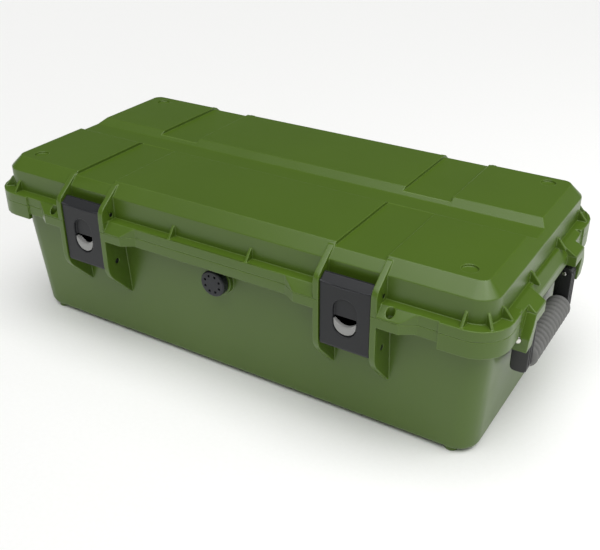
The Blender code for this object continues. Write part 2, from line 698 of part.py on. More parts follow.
def base_shell(shop):
    tub = tub_sections(0.0, FOOT_HEIGHT, BASE_TOP, FLOOR_ROUND)
    shell = shop.piece("base_shell", loft(tub), "green_plastic")
    shop.work(shell, "UNION", rim_slab(RIM_BOTTOM, BASE_TOP), "base_rim")
    bumper = corner_bumpers(shop, "base_bumper", RIM_BOTTOM - BUMPER_DROP, BASE_TOP)
    shop.work(shell, "UNION", bumper, "base_bumper")
    hollow_in = (base_wall(PARTING, 0) + CLEARANCE, base_wall(PARTING, 1) + CLEARANCE, BASE_CORNER)
    hollow_out = (RIM_HALF_X - RIM_SKIRT, RIM_HALF_Y - RIM_SKIRT, RIM_CORNER - RIM_SKIRT)
    under_rim = frame_ring(hollow_out, hollow_in, RIM_BOTTOM - 2 * BUMPER_DROP, BASE_TOP - RIM_PLATE)
    shop.work(shell, "DIFFERENCE", under_rim, "under_rim")
    shop.work(shell, "UNION", rim_ribs(), "rim_ribs")
    shop.work(shell, "UNION", all_tabs(TAB_BOTTOM, BASE_TOP), "base_tabs")
    shop.work(shell, "DIFFERENCE", padlock_holes(TAB_BOTTOM - 1.0, BASE_TOP + 1.0), "base_padlock")
    shop.work(shell, "DIFFERENCE", bay_boxes(True, RIM_BOTTOM - 10.0, BASE_TOP + 1.0), "latch_bays")
    rear_bays = bay_boxes(False, RIM_BOTTOM - 10.0, BASE_TOP + 1.0, FIN + BASE_BAY_MARGIN)
    shop.work(shell, "DIFFERENCE", rear_bays, "hinge_bays")
    shop.work(shell, "UNION", at_latches(lambda: fin_pair(base_fin_outline())), "base_fins")
    shop.work(shell, "UNION", at_latches(knuckle_set), "base_knuckles")
    shop.work(shell, "UNION", base_brackets(), "handle_brackets")
    shop.work(shell, "UNION", base_hoods(), "handle_hoods")
    shop.work(shell, "DIFFERENCE", facet_wedges(), "bracket_facets")
    feet = together(*(rod("Z", (x * FOOT_X, y * FOOT_Y), FOOT_RADIUS, 0.0, FOOT_HEIGHT + FLOOR_ROUND / 2)
                      for x in (-1, 1) for y in (-1, 1)))
    shop.work(shell, "UNION", feet, "feet")
    boss = rod("Y", (0.0, VALVE_Z), VALVE_BOSS_RADIUS, -VALVE_BOSS_FACE,
               -(base_wall(VALVE_Z, 1) - WALL / 2), 32)
    shop.work(shell, "UNION", boss, "valve_boss")
    inside = tub_sections(WALL, FOOT_HEIGHT + FLOOR, BASE_TOP + 5.0, FLOOR_ROUND - WALL / 2)
    shop.work(shell, "DIFFERENCE", loft(inside), "base_cavity")
    tongue_mid = SEAL_OFFSET + TONGUE / 2
    tongue_out = (LID_HALF_X + tongue_mid, LID_HALF_Y + tongue_mid, LID_CORNER + tongue_mid)
    tongue_in = tuple(size - TONGUE for size in tongue_out)
    tongue = frame_ring(tongue_out, tongue_in, BASE_TOP - 1.0, BASE_TOP + TONGUE_HEIGHT)
    shop.work(shell, "UNION", tongue, "sealing_tongue")
    bores = at_latches(lambda: rod("X", LEVER_PIN, LEVER_PIN_RADIUS + CLEARANCE,
                                   -FIN_SPAN - 1.0, FIN_SPAN + 1.0))
    shop.work(shell, "DIFFERENCE", bores, "lever_pin_bores")
    hinge = at_latches(lambda: rod("X", (HINGE_Y, PARTING), HINGE_PIN_RADIUS + CLEARANCE,
                                   -FIN_SPAN - 1.0, FIN_SPAN + 1.0))
    shop.work(shell, "DIFFERENCE", hinge, "hinge_pin_bores")
    sockets = four_ways(lambda: rod("Y", (HANDLE_X, HANDLE_Z), HANDLE_PIN_RADIUS + CLEARANCE,
                                    BRACKET_INNER - 1.0, BRACKET_OUTER + 1.0))
    shop.work(shell, "DIFFERENCE", sockets, "handle_pin_bores")
    bore = rod("Y", (0.0, VALVE_Z), VALVE_THREAD_RADIUS + CLEARANCE, -VALVE_BOSS_FACE - 2.0,
               -base_wall(VALVE_Z, 1) + WALL + 4.0)
    shop.work(shell, "DIFFERENCE", bore, "valve_bore")
    return shell


def rim_ribs():
    """Short ribs that stiffen the hollow underside of the base rim."""
    low, high = RIM_BOTTOM + 0.5, BASE_TOP - RIM_PLATE + 1.0
    half = GUSSET_THICK / 2
    ribs = []
    for y_sign in (-1, 1):
        for x in (-RIM_RIB_X, -GUSSET_FRONT_X, 0.0, GUSSET_FRONT_X, RIM_RIB_X):
            ends = sorted((y_sign * (base_wall(PARTING, 1) - 0.5), y_sign * (RIM_HALF_Y - 1.0)))
            ribs.append(box((x - half, ends[0], low), (x + half, ends[1], high)))
    for x_sign in (-1, 1):
        for y in (-GUSSET_END_Y, 0.0, GUSSET_END_Y):
            ends = sorted((x_sign * (base_wall(PARTING, 0) - 0.5), x_sign * (RIM_HALF_X - 1.0)))
            ribs.append(box((ends[0], y - half, low), (ends[1], y + half, high)))
    return together(*ribs)


def lid_channel(extra):
    """Cross channel, or with extra wall its inner face, as a block along X."""
    floor = CASE_HEIGHT - PANEL_CHANNEL - extra
    floor_half = CHANNEL_FLOOR / 2 + extra * 0.6
    mouth_half = CHANNEL_MOUTH / 2 + extra * 0.6
    over = 1.0
    lean = (mouth_half - floor_half) / PANEL_CHANNEL
    top_half = mouth_half + lean * (over if extra == 0.0 else extra)
    top = CASE_HEIGHT + (over if extra == 0.0 else 0.0)
    outline = [(-floor_half, floor), (floor_half, floor), (top_half, top), (-top_half, top)]
    return plate("X", outline, -LID_HALF_X - 2.0, LID_HALF_X + 2.0)


def latch_strips(low, near, far, grow=0.0):
    """Blocks along Y in line with the latch bays, from near to far of the centre plane."""
    reach = STRIP_WIDTH / 2 + grow
    blocks = [box((sign * LATCH_X - reach, near, low), (sign * LATCH_X + reach, far, CASE_HEIGHT + 1.0))
              for _, sign in SIDES]
    return together(*blocks)


def lid_cavity(shop):
    """Inside of the lid, kept clear of the channel and the sunk strips."""
    top_half_x = LID_HALF_X - LID_CHAMFER
    top_half_y = LID_HALF_Y - LID_CHAMFER
    ceiling = CASE_HEIGHT - WALL
    slope = WALL * (math.sqrt(2) - 1)
    inner_x, inner_y = LID_HALF_X - LID_WALL, LID_HALF_Y - LID_WALL
    knee = CASE_HEIGHT - WALL * math.sqrt(2) + (top_half_y - inner_y)
    cavity = shop.tool("lid_cavity", loft([
        (inner_x, inner_y, LID_CORNER - LID_WALL, LID_BOTTOM - 5.0),
        (inner_x, inner_y, LID_CORNER - LID_WALL, knee),
        (top_half_x - slope, top_half_y - slope, LID_CORNER - LID_CHAMFER + 1.0, ceiling)]))
    shop.work(cavity, "DIFFERENCE", lid_channel(WALL), "channel_wall")
    under_strips = latch_strips(CASE_HEIGHT - STRIP_DEPTH - WALL, -LID_HALF_Y, LID_HALF_Y, WALL)
    shop.work(cavity, "DIFFERENCE", under_strips, "strip_walls")
    return cavity


def gusset(base_point, direction):
    """Small triangular rib on the ledge, from the lid wall to the rim edge."""
    run = LEDGE_WIDTH - 0.6
    outline = [(-1.5, LEDGE - 1.0), (run, LEDGE - 1.0), (run, LEDGE + 0.4), (1.2, LEDGE + GUSSET_RISE),
               (-1.5, LEDGE + GUSSET_RISE)]
    rib = plate("Y", outline, -GUSSET_THICK / 2, GUSSET_THICK / 2)
    turn = Matrix.Rotation(math.radians(direction), 4, "Z")
    place = Matrix.Translation(Vector((*base_point, 0.0)) * MM) @ turn
    bmesh.ops.transform(rib, matrix=place, verts=rib.verts)
    return rib


def quarter_gussets():
    """Ledge ribs of the right rear quarter."""
    diagonal = LID_CORNER * (1 - math.sqrt(0.5))
    corner_x = LID_HALF_X - LID_CORNER
    corner_y = LID_HALF_Y - LID_CORNER
    return together(
        gusset((GUSSET_FRONT_X, LID_HALF_Y), 90),
        gusset((corner_x - 2.0, LID_HALF_Y), 90),
        gusset((LID_HALF_X - diagonal, LID_HALF_Y - diagonal), 45),
        gusset((LID_HALF_X, corner_y - 2.0), 0),
        gusset((LID_HALF_X, GUSSET_END_Y), 0))


def lid_shell(shop):
    top_x, top_y = LID_HALF_X - LID_CHAMFER, LID_HALF_Y - LID_CHAMFER
    shell = shop.piece("lid_shell", loft([
        (LID_HALF_X, LID_HALF_Y, LID_CORNER, LID_BOTTOM),
        (LID_HALF_X, LID_HALF_Y, LID_CORNER, CASE_HEIGHT - LID_CHAMFER),
        (top_x, top_y, LID_CORNER - LID_CHAMFER, CASE_HEIGHT)]), "green_plastic")
    shop.work(shell, "UNION", rim_slab(LID_BOTTOM, LEDGE), "lid_rim")
    shop.work(shell, "UNION", corner_bumpers(shop, "lid_bumper", LID_BOTTOM, LEDGE), "lid_bumper")
    shop.work(shell, "UNION", all_tabs(LID_BOTTOM, LEDGE), "lid_tabs")
    shop.work(shell, "DIFFERENCE", tab_slope(), "tab_slope")
    shop.work(shell, "DIFFERENCE", padlock_holes(LID_BOTTOM - 1.0, LEDGE + 1.0), "lid_padlock")
    shop.work(shell, "UNION", lid_hoods(), "lid_hoods")
    shop.work(shell, "DIFFERENCE", hood_slopes(), "hood_slopes")
    shop.work(shell, "DIFFERENCE", rim_slopes(), "rim_slopes")
    shop.work(shell, "DIFFERENCE", facet_wedges(), "hood_facets")
    shop.work(shell, "DIFFERENCE", bay_boxes(True, LID_BOTTOM - 1.0, LEDGE + 1.0), "lid_latch_bays")
    shop.work(shell, "DIFFERENCE", bay_boxes(False, LID_BOTTOM - 1.0, LEDGE + 1.0), "lid_hinge_bays")
    shop.work(shell, "UNION", four_ways(quarter_gussets), "gussets")
    shop.work(shell, "UNION", at_latches(lambda: fin_pair(lid_fin_outline())), "lid_fins")
    shop.work(shell, "UNION", at_latches(lambda: fin_pair(lid_hinge_outline())), "hinge_fins")
    bars = at_latches(lambda: rod("X", CATCH_BAR, BAR_RADIUS + CLEARANCE,
                                  -FIN_SPAN - 1.0, FIN_SPAN + 1.0))
    shop.work(shell, "DIFFERENCE", bars, "catch_bar_bores")
    hinge = at_latches(lambda: rod("X", (HINGE_Y, PARTING), HINGE_PIN_RADIUS + CLEARANCE,
                                   -FIN_SPAN - 1.0, FIN_SPAN + 1.0))
    shop.work(shell, "DIFFERENCE", hinge, "lid_hinge_bores")
    shop.work(shell, "DIFFERENCE", lid_cavity(shop), "lid_cavity")
    shop.work(shell, "DIFFERENCE", lid_channel(0.0), "cross_channel")
    near, far = CHANNEL_MOUTH / 2 - 6.0, LID_HALF_Y + 4.0
    strip_floor = CASE_HEIGHT - STRIP_DEPTH
    shop.work(shell, "DIFFERENCE", latch_strips(strip_floor, near, far), "rear_strips")
    shop.work(shell, "DIFFERENCE", latch_strips(strip_floor, -far, -near), "front_strips")
    sockets = together(*(rod("Z", (x * FOOT_X, y * FOOT_Y), RECESS_RADIUS, CASE_HEIGHT - RECESS_DEPTH,
                             CASE_HEIGHT + 1.0) for x in (-1, 1) for y in (-1, 1)))
    shop.work(shell, "DIFFERENCE", sockets, "stacking_sockets")
    groove_mid = SEAL_OFFSET + GROOVE / 2
    groove_out = (LID_HALF_X + groove_mid, LID_HALF_Y + groove_mid, LID_CORNER + groove_mid)
    groove_in = tuple(size - GROOVE for size in groove_out)
    groove = frame_ring(groove_out, groove_in, LID_BOTTOM - 1.0, LID_BOTTOM + GROOVE_DEPTH)
    shop.work(shell, "DIFFERENCE", groove, "seal_groove")
    return shell


def lid_gasket(shop):
    outer_mid = SEAL_OFFSET + GROOVE / 2 - CLEARANCE
    outer = (LID_HALF_X + outer_mid, LID_HALF_Y + outer_mid, LID_CORNER + outer_mid)
    inner = tuple(size - GROOVE + 2 * CLEARANCE for size in outer)
    roof = LID_BOTTOM + GROOVE_DEPTH - CLEARANCE
    return shop.piece("lid_gasket", frame_ring(outer, inner, roof - GASKET_THICK, roof), "seal_rubber")


# ---------------------------------------------------------------- latches
def stadium(width, low, high, steps=8):
    """Upright slot outline in X, Z, centred on x = 0."""
    radius = width / 2
    return (arc((0.0, high - radius), radius, 0, 180, steps)
            + arc((0.0, low + radius), radius, 180, 360, steps))


def lever_profile():
    back = LEVER_FRONT + LEVER_BACK
    pin_y, pin_z = LEVER_PIN
    return soften([
        (LEVER_FRONT, LEVER_BOTTOM, 3.0),
        (LEVER_FRONT, LEVER_TOP, 1.0),
        (back, LEVER_TOP + LEVER_BEVEL, 0.8),
        (back, pin_z + LEVER_LOBE + 4.0, 3.0),
        (pin_y + LEVER_LOBE, pin_z + LEVER_LOBE, 4.0),
        (pin_y + LEVER_LOBE, LEVER_BOTTOM, 4.0)])


def lever_hollow():
    """Space behind the lever's face plate, open to the rear."""
    back = LEVER_FRONT + LEVER_BACK
    slope = LEVER_BEVEL / LEVER_BACK
    roof = LEVER_TOP - LEVER_SHELL * 1.2
    far = LEVER_PIN[0] + LEVER_LOBE + 3.0
    return [(LEVER_INSIDE, LEVER_BOTTOM + LEVER_SHELL), (LEVER_INSIDE, roof + slope * LEVER_SHELL),
            (back + 3.0, roof + slope * (LEVER_BACK + 3.0)), (far, roof), (far, LEVER_BOTTOM + LEVER_SHELL)]


def lip_opening_outline(grow, top):
    """Lower half of the pocket, where the trigger's lip comes through."""
    radius = POCKET_WIDTH / 2 + grow
    bottom = POCKET_BOTTOM - 0.8 - grow
    return [(-radius, top)] + arc((0.0, bottom + radius), radius, 180, 360, 10) + [(radius, top)]


def latch_lever(shop):
    half = LEVER_WIDTH / 2
    lever = shop.piece("latch_lever_right", plate("X", lever_profile(), -half, half), "dark_plastic")
    inner = half - LEVER_CHEEK
    shop.work(lever, "DIFFERENCE", plate("X", lever_hollow(), -inner, inner), "lever_hollow")
    cup = plate("Y", stadium(POCKET_WIDTH + 2 * POCKET_SHELL, POCKET_BOTTOM - POCKET_SHELL,
                             POCKET_TOP + POCKET_SHELL),
                LEVER_INSIDE - 1.0, LEVER_FRONT + POCKET_DEPTH + POCKET_SHELL)
    shop.work(lever, "UNION", cup, "pocket_cup")
    pocket = plate("Y", stadium(POCKET_WIDTH, POCKET_BOTTOM, POCKET_TOP),
                   LEVER_FRONT - 1.0, LEVER_FRONT + POCKET_DEPTH)
    shop.work(lever, "DIFFERENCE", pocket, "finger_pocket")
    window = plate("Y", lip_opening_outline(0.0, POCKET_BOTTOM + POCKET_WIDTH / 2 + 5.0),
                   LEVER_FRONT - 1.0, LEVER_FRONT + POCKET_DEPTH + 3.0)
    shop.work(lever, "DIFFERENCE", window, "lip_window")
    eye = rod("X", LEVER_PIN, LEVER_PIN_RADIUS + CLEARANCE, -half - 1.0, half + 1.0)
    shop.work(lever, "DIFFERENCE", eye, "lever_eye")
    seat = rod("X", TRIGGER_PIN, TRIGGER_PIN_RADIUS + CLEARANCE, -half - 1.0, half + 1.0, 16)
    shop.work(lever, "DIFFERENCE", seat, "trigger_seat")
    return lever


def trigger_arm_outline():
    """Hook arm beside the pocket, with a nose over the catch bar's front."""
    bar_y, bar_z = CATCH_BAR
    nose_tip = bar_y - BAR_RADIUS - CLEARANCE - 0.1
    back = bar_y - BAR_RADIUS - CLEARANCE - 2.0
    front = back - TRIGGER_THICK
    nose_low = bar_z + BAR_RADIUS + CLEARANCE
    return [(front, TRIGGER_PIN_HEIGHT), (front, nose_low - 3.0), (back, nose_low + 1.9),
            (nose_tip, nose_low + 1.9), (nose_tip, nose_low), (back, nose_low - 1.0),
            (back, TRIGGER_PIN_HEIGHT)]


def crescent_outline():
    """The finger lip in X, Z: a U below and a dished edge above."""
    radius = POCKET_WIDTH / 2 - CLEARANCE - 0.2
    centre_z = POCKET_BOTTOM + 0.5 + radius
    below = arc((0.0, centre_z), radius, 180, 360, 12)
    dish_low = POCKET_BOTTOM + 0.5 + LIP_HEIGHT
    tip = centre_z + 3.0
    dished = []
    for step in range(9):
        across = 1 - step / 4
        dished.append((radius * across, dish_low + (tip - dish_low) * across ** 2))
    return below + dished


def latch_trigger(shop):
    arm = trigger_arm_outline()
    front, back = arm[0][0], arm[-1][0]
    web = plate("X", [(front, POCKET_BOTTOM + 2.0), (front, TRIGGER_PIN_HEIGHT),
                      (back, TRIGGER_PIN_HEIGHT), (back, POCKET_BOTTOM + 2.0)],
                -TRIGGER_WEB / 2, TRIGGER_WEB / 2)
    trigger = shop.piece("latch_trigger_right", web, "trigger_plastic")
    out = TRIGGER_ARM_OUT
    lip = plate("Y", crescent_outline(), LEVER_FRONT + LIP_PROUD, front + TRIGGER_THICK / 2)
    shop.work(trigger, "UNION", lip, "finger_lip")
    bridge = box((-out, front, TRIGGER_PIN_HEIGHT + TRIGGER_BARREL),
                 (out, back, TRIGGER_PIN_HEIGHT + TRIGGER_BARREL + BRIDGE_HEIGHT))
    shop.work(trigger, "UNION", bridge, "trigger_bridge")
    neck = box((-TRIGGER_WEB / 2, front, TRIGGER_PIN_HEIGHT - 1.0),
               (TRIGGER_WEB / 2, back, TRIGGER_PIN_HEIGHT + TRIGGER_BARREL + 1.0))
    shop.work(trigger, "UNION", neck, "trigger_neck")
    arms = together(plate("X", arm, -out, -out + TRIGGER_ARM), plate("X", arm, out - TRIGGER_ARM, out))
    shop.work(trigger, "UNION", arms, "hook_arms")
    inset = 0.1
    spans = ((-TRIGGER_WEB / 2, TRIGGER_WEB / 2), (-out, -out + TRIGGER_ARM), (out - TRIGGER_ARM, out))
    barrels = together(*(rod("X", TRIGGER_PIN, TRIGGER_BARREL, low + inset, high - inset, 20)
                         for low, high in spans))
    shop.work(trigger, "UNION", barrels, "trigger_barrels")
    eye = rod("X", TRIGGER_PIN, TRIGGER_PIN_RADIUS + CLEARANCE, -out - 1.0, out + 1.0, 16)
    shop.work(trigger, "DIFFERENCE", eye, "trigger_eye")
    return trigger


def trigger_spring(shop):
    """Torsion coil round the trigger pin, in the gap between web and arm."""
    start = TRIGGER_WEB / 2 + CLEARANCE + SPRING_WIRE / 2
    end = TRIGGER_ARM_OUT - TRIGGER_ARM - CLEARANCE - SPRING_WIRE / 2
    mean_radius = TRIGGER_PIN_RADIUS + CLEARANCE + SPRING_WIRE / 2 + 0.1
    curve = bpy.data.curves.new("trigger_spring", "CURVE")
    curve.dimensions = "3D"
    curve.bevel_depth = SPRING_WIRE / 2 * MM
    curve.bevel_resolution = 2
    curve.use_fill_caps = True
    points_per_turn = 12
    count = SPRING_TURNS * points_per_turn
    spline = curve.splines.new("POLY")
    spline.points.add(count)
    for index in range(count + 1):
        angle = math.tau * index / points_per_turn
        x = start + (end - start) * index / count
        y = TRIGGER_PIN[0] + mean_radius * math.cos(angle)
        z = TRIGGER_PIN[1] + mean_radius * math.sin(angle)
        spline.points[index].co = (x * MM, y * MM, z * MM, 1.0)
    spring = bpy.data.objects.new("trigger_spring_right", curve)
    shop.parts.objects.link(spring)
    curve.materials.append(shop.materials["steel"])
    return spring


def hinge_and_latch_pins(shop):
    """Straight steel pins that end flush with the fins."""
    reach = FIN_SPAN - 0.2
    seat = LEVER_WIDTH / 2 - 0.2
    return {
        "hinge_pin": shop.piece("hinge_pin_right", rod("X", (HINGE_Y, PARTING), HINGE_PIN_RADIUS,
                                                       -reach, reach), "steel"),
        "latch_pin": shop.piece("latch_pin_right", rod("X", LEVER_PIN, LEVER_PIN_RADIUS,
                                                       -reach, reach), "steel"),
        "catch_bar": shop.piece("catch_bar_right", rod("X", CATCH_BAR, BAR_RADIUS,
                                                       -reach, reach), "steel"),
        "trigger_pin": shop.piece("trigger_pin_right", rod("X", TRIGGER_PIN, TRIGGER_PIN_RADIUS,
                                                           -seat, seat, 16), "steel"),
    }


def latches(shop):
    """Both latches: made round x = 0, then each copy put in its bay."""
    right = hinge_and_latch_pins(shop)
    right["latch_lever"] = latch_lever(shop)
    right["latch_trigger"] = latch_trigger(shop)
    right["trigger_spring"] = trigger_spring(shop)
    pivots = {}
    for side, sign in SIDES:
        lever_pivot = shop.pivot("lever_pivot_" + side, (sign * LATCH_X, *LEVER_PIN))
        trigger_pivot = shop.pivot("trigger_pivot_" + side, (sign * LATCH_X, *TRIGGER_PIN))
        pivots[side] = {"latch_lever": lever_pivot, "trigger_pin": lever_pivot,
                        "trigger_spring": lever_pivot, "latch_trigger": trigger_pivot}
    for kind, source in right.items():
        for side, sign in SIDES:
            name = kind + "_" + side
            shift = Matrix.Translation((sign * LATCH_X * MM, 0.0, 0.0))
            made = shop.copy_of(source, "new_" + name, shift)
            weld = bmesh.new()
            weld.from_mesh(made.data)
            bmesh.ops.remove_doubles(weld, verts=weld.verts, dist=1e-6)
            weld.to_mesh(made.data)
            weld.free()
            if kind in pivots[side]:
                shop.hang(made, pivots[side][kind])
    for kind, source in right.items():
        bpy.data.objects.remove(source, do_unlink=True)
    for kind in right:
        for side, _ in SIDES:
            bpy.data.objects["new_" + kind + "_" + side].name = kind + "_" + side


# ---------------------------------------------------------------- end handles
def arm_outline():
    half = ARM_WIDTH / 2
    low = HANDLE_Z - ARM_DROP
    lower = soften([(HANDLE_X - half, low, 5.0), (HANDLE_X + half, low, 5.0)] +
                   [(HANDLE_X + half, HANDLE_Z, 0.0), (HANDLE_X - half, HANDLE_Z, 0.0)])
    return lower[:-2] + arc((HANDLE_X, HANDLE_Z), half, 0, 180, 8)


def handle_frame(shop):
    """Two arms and the bar between them, which runs through the grip."""
    inner = HANDLE_SPAN / 2
    grip_z = HANDLE_Z - GRIP_DROP
    frame = shop.piece("handle_frame_right", rod("Y", (HANDLE_X, grip_z), GRIP_CORE,
                                                 -inner - 1.0, inner + 1.0), "black_plastic")
    arms = together(plate("Y", arm_outline(), inner, ARM_OUTER),
                    plate("Y", arm_outline(), -ARM_OUTER, -inner))
    shop.work(frame, "UNION", arms, "handle_arms")
    face = HANDLE_X + ARM_WIDTH / 2
    land = (ARM_THICK - 2 * ARM_GROOVE) / 3
    grooves = []
    for sign in (-1, 1):
        for index in (0, 1):
            start = inner + land + index * (land + ARM_GROOVE)
            ends = sorted((sign * start, sign * (start + ARM_GROOVE)))
            grooves.append(box((face - ARM_GROOVE_DEPTH, ends[0], HANDLE_Z - ARM_DROP + 6.0),
                               (face + 1.0, ends[1], HANDLE_Z + 2.0)))
    shop.work(frame, "DIFFERENCE", together(*grooves), "arm_grooves")
    eyes = rod("Y", (HANDLE_X, HANDLE_Z), HANDLE_PIN_RADIUS + CLEARANCE, -ARM_OUTER - 1.0, ARM_OUTER + 1.0)
    shop.work(frame, "DIFFERENCE", eyes, "arm_eyes")
    return frame


def handle_grip(shop):
    """Soft sleeve on the handle bar, a little fuller in the middle."""
    inner = HANDLE_SPAN / 2 - CLEARANCE
    core = GRIP_CORE + CLEARANCE
    profile = [(core, -inner), (GRIP_RADIUS - 1.5, -inner), (GRIP_RADIUS - 0.5, -inner + 2.0),
               (GRIP_RADIUS, 0.0), (GRIP_RADIUS - 0.5, inner - 2.0), (GRIP_RADIUS - 1.5, inner),
               (core, inner)]
    shape = turned(profile, (HANDLE_X, HANDLE_Z - GRIP_DROP))
    return shop.piece("handle_grip_right", shape, "grip_rubber")


def handle_pin(shop, end):
    """Shouldered pin with a low round head on the bracket's outer face."""
    sign = -1 if end == "front" else 1
    tip = HANDLE_SPAN / 2 - 0.6
    face = BRACKET_OUTER + CLEARANCE
    profile = [(0.0, sign * tip), (HANDLE_PIN_RADIUS - 0.4, sign * tip),
               (HANDLE_PIN_RADIUS, sign * (tip + 0.4)), (HANDLE_PIN_RADIUS, sign * face),
               (HANDLE_PIN_HEAD, sign * face), (HANDLE_PIN_HEAD, sign * (face + 0.5)),
               (HANDLE_PIN_HEAD * 0.6, sign * (face + 1.2)), (0.0, sign * (face + 1.4))]
    shape = turned(profile, (HANDLE_X, HANDLE_Z))
    return shop.piece("handle_pin_right_" + end, shape, "steel")


def handles(shop):
    """Right end handle, and its twin turned half round to the left end."""
    turn = Matrix.Rotation(math.pi, 4, "Z")
    right_pivot = shop.pivot("handle_pivot_right", (HANDLE_X, 0.0, HANDLE_Z))
    left_pivot = shop.pivot("handle_pivot_left", (-HANDLE_X, 0.0, HANDLE_Z))
    for make, kind in ((handle_frame, "handle_frame"), (handle_grip, "handle_grip")):
        right = make(shop)
        left = shop.copy_of(right, kind + "_left", turn)
        shop.hang(right, right_pivot)
        shop.hang(left, left_pivot)
    for end, far_end in (("front", "rear"), ("rear", "front")):
        shop.copy_of(handle_pin(shop, end), "handle_pin_left_" + far_end, turn)


# ---------------------------------------------------------------- air valve
def air_valve(shop):
    """Vented cap outside, hollow threaded stem, nut inside, O-ring and membrane."""
    face = -(VALVE_BOSS_FACE + CLEARANCE)
    ring_seat = VALVE_RING + 2 * CLEARANCE
    nut_face = -(base_wall(VALVE_Z, 1) - WALL) + CLEARANCE + 1.2
    stem_end = nut_face + VALVE_NUT_THICK + 1.0
    front = face - VALVE_CAP
    profile = [(0.0, front), (VALVE_RADIUS - 1.2, front), (VALVE_RADIUS, front + 1.2),
               (VALVE_RADIUS, face), (VALVE_THREAD_RADIUS + ring_seat, face),
               (VALVE_THREAD_RADIUS + ring_seat, face - ring_seat), (VALVE_THREAD_RADIUS, face - ring_seat),
               (VALVE_THREAD_RADIUS, stem_end), (VALVE_BORE_RADIUS, stem_end),
               (VALVE_BORE_RADIUS, front + 4.6), (VALVE_PORT_CIRCLE + 1.6, front + 4.6),
               (VALVE_PORT_CIRCLE + 1.6, front + 2.2), (0.0, front + 2.2)]
    body = shop.piece("valve_body", turned(profile, (0.0, VALVE_Z), 32), "dark_plastic")
    ports = []
    for index in range(VALVE_PORTS):
        angle = math.tau * (index + 0.5) / VALVE_PORTS
        centre = (VALVE_PORT_CIRCLE * math.cos(angle), VALVE_Z + VALVE_PORT_CIRCLE * math.sin(angle))
        ports.append(rod("Y", centre, VALVE_PORT_RADIUS, front - 1.0, front + 3.0, 10))
    shop.work(body, "DIFFERENCE", together(*ports), "valve_ports")
    disc = rod("Y", (0.0, VALVE_Z), VALVE_PORT_CIRCLE + 1.0, front + 3.4, front + 4.2)
    shop.piece("valve_membrane", disc, "membrane")
    ring_low = VALVE_THREAD_RADIUS + CLEARANCE
    ring_high = ring_low + VALVE_RING
    ring_front = face - CLEARANCE - VALVE_RING
    ring_back = face - 0.01
    ring_profile = [(ring_low, ring_front), (ring_high, ring_front),
                    (ring_high, ring_back), (ring_low, ring_back)]
    shop.piece("valve_o_ring", turned(ring_profile, (0.0, VALVE_Z)), "seal_rubber")
    hexagon = arc((0.0, VALVE_Z), VALVE_THREAD_RADIUS + 4.5, 0, 300, 5)
    nut = shop.piece("valve_nut", plate("Y", hexagon, nut_face, nut_face + VALVE_NUT_THICK), "dark_plastic")
    hole = rod("Y", (0.0, VALVE_Z), VALVE_THREAD_RADIUS + CLEARANCE, nut_face - 1.0,
               nut_face + VALVE_NUT_THICK + 1.0, 32)
    shop.work(nut, "DIFFERENCE", hole, "nut_bore")


def main():
    shop = Workshop()
    base_shell(shop)
    lid = lid_shell(shop)
    gasket = lid_gasket(shop)
    lid_pivot = shop.pivot("lid_pivot", (0.0, HINGE_Y, PARTING))
    for piece in (lid, gasket):
        shop.hang(piece, lid_pivot)
    latches(shop)
    handles(shop)
    air_valve(shop)


main()
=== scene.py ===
# %% [markdown]
# # A hard equipment case
# The real object is a long, low transit case: two injection-moulded green shells that close on a
# rubber seal, two charcoal push-button latches in front, two hinges behind, a folding handle with a
# soft grip at each end, and a small vented valve that lets air in and out as the height changes.
# The mechanical frame is already made and fixed. This notebook gives it its finished surfaces:
# rounded moulded edges, ribbed grips, crowned levers, and a procedural material for every finish.

import json
import math

import bmesh
import bpy
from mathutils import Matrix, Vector


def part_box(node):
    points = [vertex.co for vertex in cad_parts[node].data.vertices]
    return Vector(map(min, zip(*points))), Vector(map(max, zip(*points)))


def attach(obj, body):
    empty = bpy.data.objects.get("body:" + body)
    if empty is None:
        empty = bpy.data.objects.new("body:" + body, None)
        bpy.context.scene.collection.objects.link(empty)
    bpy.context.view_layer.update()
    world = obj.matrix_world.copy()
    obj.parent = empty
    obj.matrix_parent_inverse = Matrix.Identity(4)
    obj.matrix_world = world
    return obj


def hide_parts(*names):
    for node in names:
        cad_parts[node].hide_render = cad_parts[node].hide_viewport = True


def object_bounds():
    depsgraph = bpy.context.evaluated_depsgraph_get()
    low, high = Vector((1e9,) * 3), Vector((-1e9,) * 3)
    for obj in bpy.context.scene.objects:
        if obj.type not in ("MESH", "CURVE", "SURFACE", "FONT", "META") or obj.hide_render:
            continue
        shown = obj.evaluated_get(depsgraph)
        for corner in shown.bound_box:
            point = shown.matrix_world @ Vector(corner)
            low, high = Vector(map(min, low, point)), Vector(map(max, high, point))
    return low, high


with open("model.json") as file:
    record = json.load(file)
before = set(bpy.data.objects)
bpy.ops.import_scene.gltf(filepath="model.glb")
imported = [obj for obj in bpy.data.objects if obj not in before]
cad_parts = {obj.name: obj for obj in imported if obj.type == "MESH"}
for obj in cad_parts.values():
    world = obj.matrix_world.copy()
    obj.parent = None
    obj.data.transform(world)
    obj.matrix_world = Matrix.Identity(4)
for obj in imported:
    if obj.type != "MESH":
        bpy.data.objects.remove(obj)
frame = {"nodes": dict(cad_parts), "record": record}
cad_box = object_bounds()
MM = 0.001
MERGE_DISTANCE = 0.01 * MM
case_size = cad_box[1] - cad_box[0]
print("case", [round(side / MM, 1) for side in case_size], "mm")

# %% [markdown]
# ## Finding what belongs to what
# Each body of the frame (the base, the lid, a latch lever, a handle) carries several nodes. A new
# surface has to move with the same body as the node it stands for, and it takes the same material
# slot. Both are looked up once, from the frame's own record.

# %% Bodies and material slots of the nodes
body_of_node = {}
for body, members in frame["record"]["behaviour"]["bodies"].items():
    for member in members:
        body_of_node[member] = body
slot_of_node = {part["node"]: part["material_slot"] for part in frame["record"]["subparts"]}

